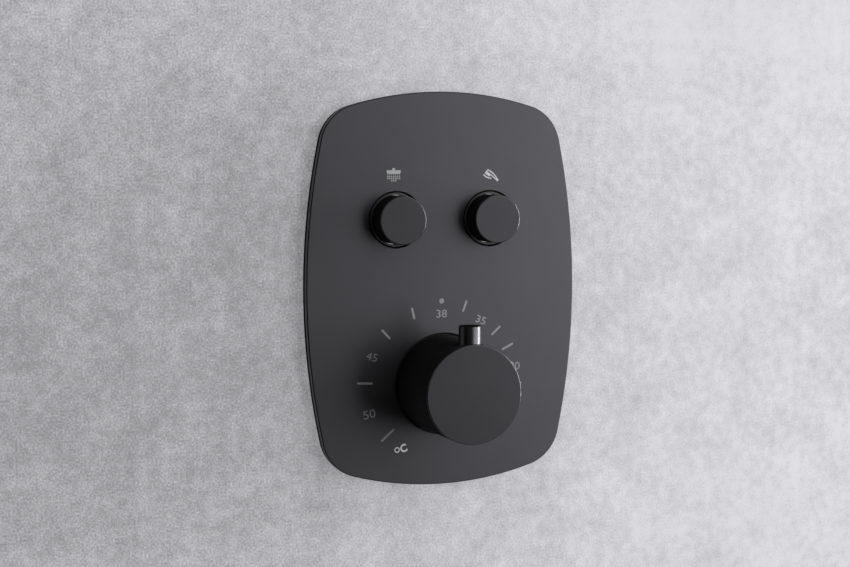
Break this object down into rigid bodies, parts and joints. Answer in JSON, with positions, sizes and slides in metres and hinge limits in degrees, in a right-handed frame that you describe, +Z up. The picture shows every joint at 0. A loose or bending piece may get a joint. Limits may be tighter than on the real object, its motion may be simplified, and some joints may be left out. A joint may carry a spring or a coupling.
{
  "type": "thermostatic shower valve",
  "caption": "Concealed thermostatic shower valve: black bulging face plate, push buttons for the outlets, round temperature knob with safety pin, brass in-wall body.",
  "frame": {"origin": "middle of the face plate's outline, on the finished wall, where the plate's gasket rests", "axes": "+X to the user's right along the wall, +Y into the wall, +Z up"},
  "size_m": [0.13, 0.1177, 0.18],
  "materials": {
    "black_chrome": "black chrome plating",
    "black_foam": "closed-cell foam",
    "black_plastic": "moulded acetal",
    "black_rubber": "moulded nitrile or EPDM",
    "blue_plastic": "moulded acetal",
    "cast_brass": "as cast, shot-blasted, machined on the faces",
    "copper": "drawn copper",
    "grey_plastic": "glass-filled polymer",
    "nickel_brass": "nickel plated",
    "red_plastic": "moulded acetal",
    "satin_black": "satin black electro-coating over die-cast metal",
    "stainless": "brushed stainless sheet",
    "steel_spring": "stainless spring wire",
    "turned_brass": "turned, bright",
    "white_plastic": "moulded acetal",
    "zinc_steel": "zinc plated"
  },
  "bodies": {
    "valve": {"faceplate": "satin_black", "plate_gasket": "black_foam", "gland_nut": "turned_brass", "spindle_o_ring": "black_rubber", "stop_ring": "grey_plastic", "knob_sleeve": "black_plastic", "knob_sleeve_o_rings": "black_rubber", "return_spring": "steel_spring", "cartridge_housing": "grey_plastic", "housing_o_rings": "black_rubber", "hot_filter": "stainless", "cold_filter": "stainless", "valve_body": "cast_brass", "hot_inlet": "turned_brass", "cold_inlet": "turned_brass", "shower_outlet": "turned_brass", "handset_outlet": "turned_brass", "connector_seals": "black_rubber", "hot_check_valve": "red_plastic", "cold_check_valve": "blue_plastic", "hot_check_spring": "steel_spring", "cold_check_spring": "steel_spring", "left_button_sleeve": "black_plastic", "right_button_sleeve": "black_plastic", "left_button_spring": "steel_spring", "right_button_spring": "steel_spring", "left_bonnet": "turned_brass", "right_bonnet": "turned_brass", "left_seat_cage": "grey_plastic", "right_seat_cage": "grey_plastic", "button_sleeve_o_rings": "black_rubber", "rod_o_rings": "black_rubber", "cage_o_rings": "black_rubber", "mounting_bracket": "zinc_steel", "bracket_screws": "zinc_steel"},
    "knob": {"temperature_knob": "satin_black", "pin_spring": "steel_spring", "knob_grub_screw": "zinc_steel", "spline_adapter": "white_plastic", "spindle": "turned_brass"},
    "pin": {"safety_pin": "black_chrome", "stop_finger": "stainless"},
    "regulator": {"drive_nut": "turned_brass", "overload_spring": "steel_spring", "piston_cap": "stainless", "wax_element": "copper", "shuttle": "nickel_brass"},
    "hot_check": {"hot_check_poppet": "white_plastic"},
    "cold_check": {"cold_check_poppet": "white_plastic"},
    "left_push": {"left_button": "satin_black", "left_push_rod": "stainless", "left_poppet_seal": "black_rubber", "left_poppet": "turned_brass"},
    "left_cam": {"left_latch_cam": "white_plastic"},
    "right_push": {"right_button": "satin_black", "right_push_rod": "stainless", "right_poppet_seal": "black_rubber", "right_poppet": "turned_brass"},
    "right_cam": {"right_latch_cam": "white_plastic"}
  },
  "joints": [
    {"name": "knob_turn", "type": "hinge", "parent": "valve", "child": "knob", "pos_m": [0, 0, -0.0433], "axis": [0, -1, 0], "range_deg": [-130, 130]},
    {"name": "pin_press", "type": "slide", "parent": "knob", "child": "pin", "axis": [0, 0, -1], "range_m": [0, 0.003], "stiffness_N_per_m": 600, "springref_m": -0.002, "deforming": ["pin_spring"]},
    {"name": "regulator_slide", "type": "slide", "parent": "valve", "child": "regulator", "axis": [0, 1, 0], "range_m": [-0.0011, 0.0011], "deforming": ["return_spring"]},
    {"name": "hot_check_slide", "type": "slide", "parent": "valve", "child": "hot_check", "axis": [1, 0, 0], "range_m": [0, 0.0025], "stiffness_N_per_m": 40, "springref_m": -0.002, "deforming": ["hot_check_spring"]},
    {"name": "cold_check_slide", "type": "slide", "parent": "valve", "child": "cold_check", "axis": [-1, 0, 0], "range_m": [0, 0.0025], "stiffness_N_per_m": 40, "springref_m": -0.002, "deforming": ["cold_check_spring"]},
    {"name": "left_button_press", "type": "slide", "parent": "valve", "child": "left_push", "axis": [0, 1, 0], "range_m": [0, 0.0045], "stiffness_N_per_m": 1500, "springref_m": -0.004, "deforming": ["left_button_spring"]},
    {"name": "left_cam_turn", "type": "hinge", "parent": "left_push", "child": "left_cam", "pos_m": [-0.0227, 0, 0.0323], "axis": [0, 1, 0], "range_deg": [0, 46]},
    {"name": "right_button_press", "type": "slide", "parent": "valve", "child": "right_push", "axis": [0, 1, 0], "range_m": [0, 0.0045], "stiffness_N_per_m": 1500, "springref_m": -0.004, "deforming": ["right_button_spring"]},
    {"name": "right_cam_turn", "type": "hinge", "parent": "right_push", "child": "right_cam", "pos_m": [0.0227, 0, 0.0323], "axis": [0, 1, 0], "range_deg": [0, 46]}
  ],
  "couplings": [
    {"joint": "regulator_slide", "follows": "knob_turn", "m_per_rad": 0.00047},
    {"joint": "left_cam_turn", "follows": "left_button_press", "rad_per_m": 174.5},
    {"joint": "right_cam_turn", "follows": "right_button_press", "rad_per_m": 174.5}
  ]
}
